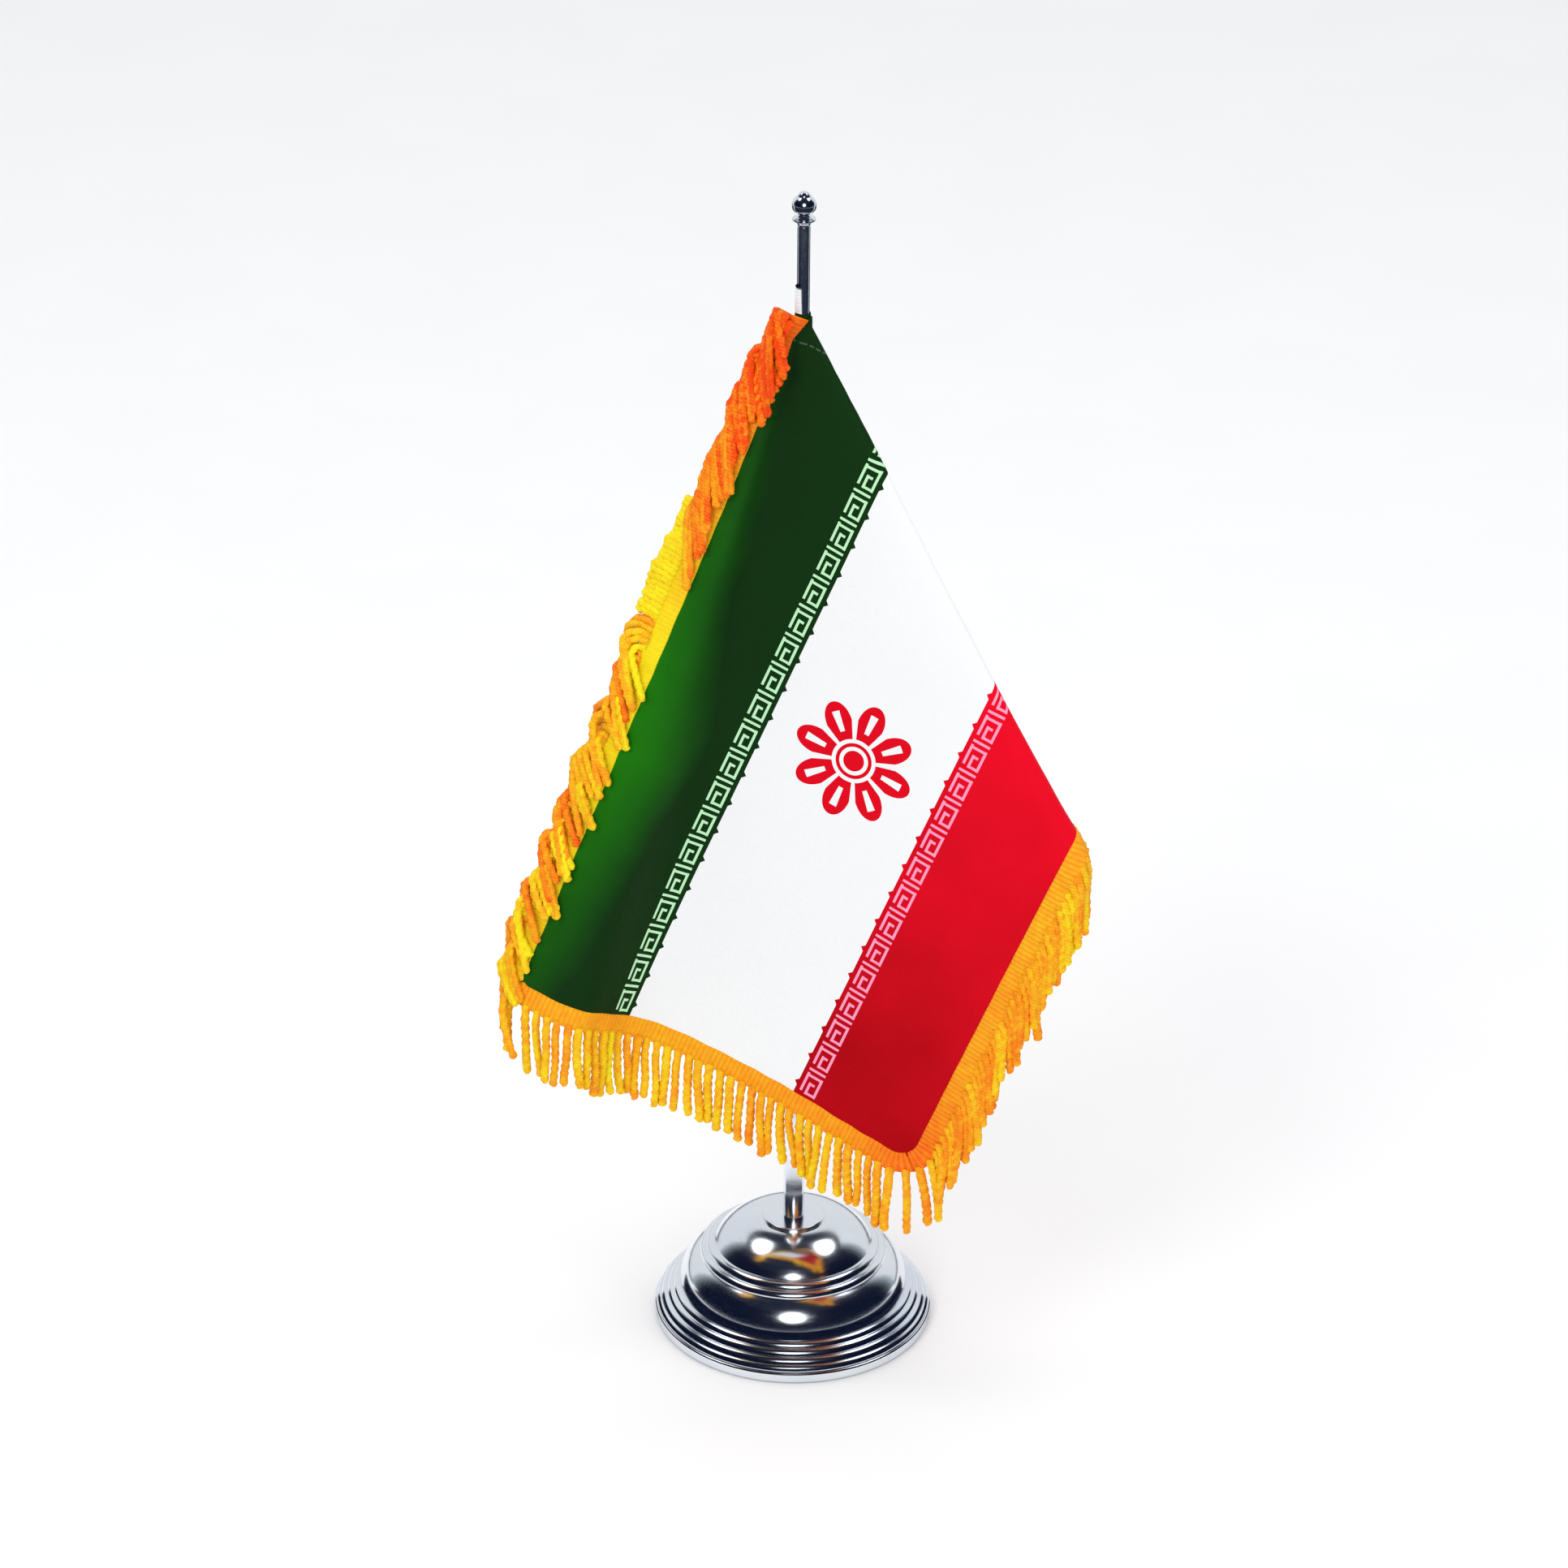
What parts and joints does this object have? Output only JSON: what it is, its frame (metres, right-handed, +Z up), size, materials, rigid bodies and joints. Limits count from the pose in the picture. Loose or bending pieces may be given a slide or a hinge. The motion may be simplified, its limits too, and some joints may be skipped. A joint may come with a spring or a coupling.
{
  "type": "desk flag stand",
  "caption": "Chromed desk flag stand with a stepped round base, two-stage pole, acorn finial and a fringed striped flag draped from the pole.",
  "frame": {"origin": "on the pole's axis, at the table surface under the felt pad", "axes": "+Z up the pole, -Y towards the viewer of the flag's front, +X to that viewer's right"},
  "size_m": [0.2125, 0.1129, 0.4357],
  "materials": {
    "chrome": "mirror-polished chrome plate",
    "cast_iron": "rough black cast iron",
    "zinc_steel": "zinc-plated steel",
    "dark_steel": "blackened steel",
    "felt": "dark green wool felt",
    "flag_satin": "printed satin",
    "gold_braid": "ribbed woven braid",
    "gold_fringe": "twisted rayon bullion",
    "white_tape": "woven cotton tape"
  },
  "bodies": {
    "base": {"base_shell": "chrome", "base_ballast": "cast_iron", "pole_disc": "chrome", "clamp_stud": "zinc_steel", "core_spacer": "zinc_steel", "clamp_washer": "zinc_steel", "clamp_nut": "zinc_steel", "base_plate": "zinc_steel", "felt_pad": "felt", "lower_tube": "chrome", "grub_screw": "dark_steel"},
    "pole": {"upper_rod": "chrome", "flag_pin": "dark_steel"},
    "flag": {"hanging_loop": "white_tape", "hoist_sleeve": "flag_satin", "flag_cloth": "flag_satin", "bottom_heading": "gold_braid", "fly_heading": "gold_braid", "top_heading": "gold_braid", "bottom_fringe": "gold_fringe", "fly_fringe": "gold_fringe", "top_fringe": "gold_fringe"},
    "finial_ring": {"finial_collar": "chrome"},
    "finial": {"finial_acorn": "chrome", "finial_stud": "zinc_steel"}
  },
  "joints": [
    {"name": "rod_slide", "type": "slide", "parent": "base", "child": "pole", "axis": [0, 0, 1], "range_m": [0, 0.03]},
    {"name": "flag_turn", "type": "hinge", "parent": "pole", "child": "flag", "pos_m": [0, 0, 0.3929], "axis": [0, 0, 1], "range_deg": [-120, 120]},
    {"name": "finial_lift", "type": "slide", "parent": "pole", "child": "finial_ring", "axis": [0, 0, 1], "range_m": [0, 0.00585]},
    {"name": "finial_turn", "type": "hinge", "parent": "finial_ring", "child": "finial", "pos_m": [0, 0, 0.428], "axis": [0, 0, 1], "range_deg": [0, 4680]}
  ],
  "couplings": [
    {"joint": "finial_turn", "follows": "finial_lift", "rad_per_m": 13963}
  ]
}
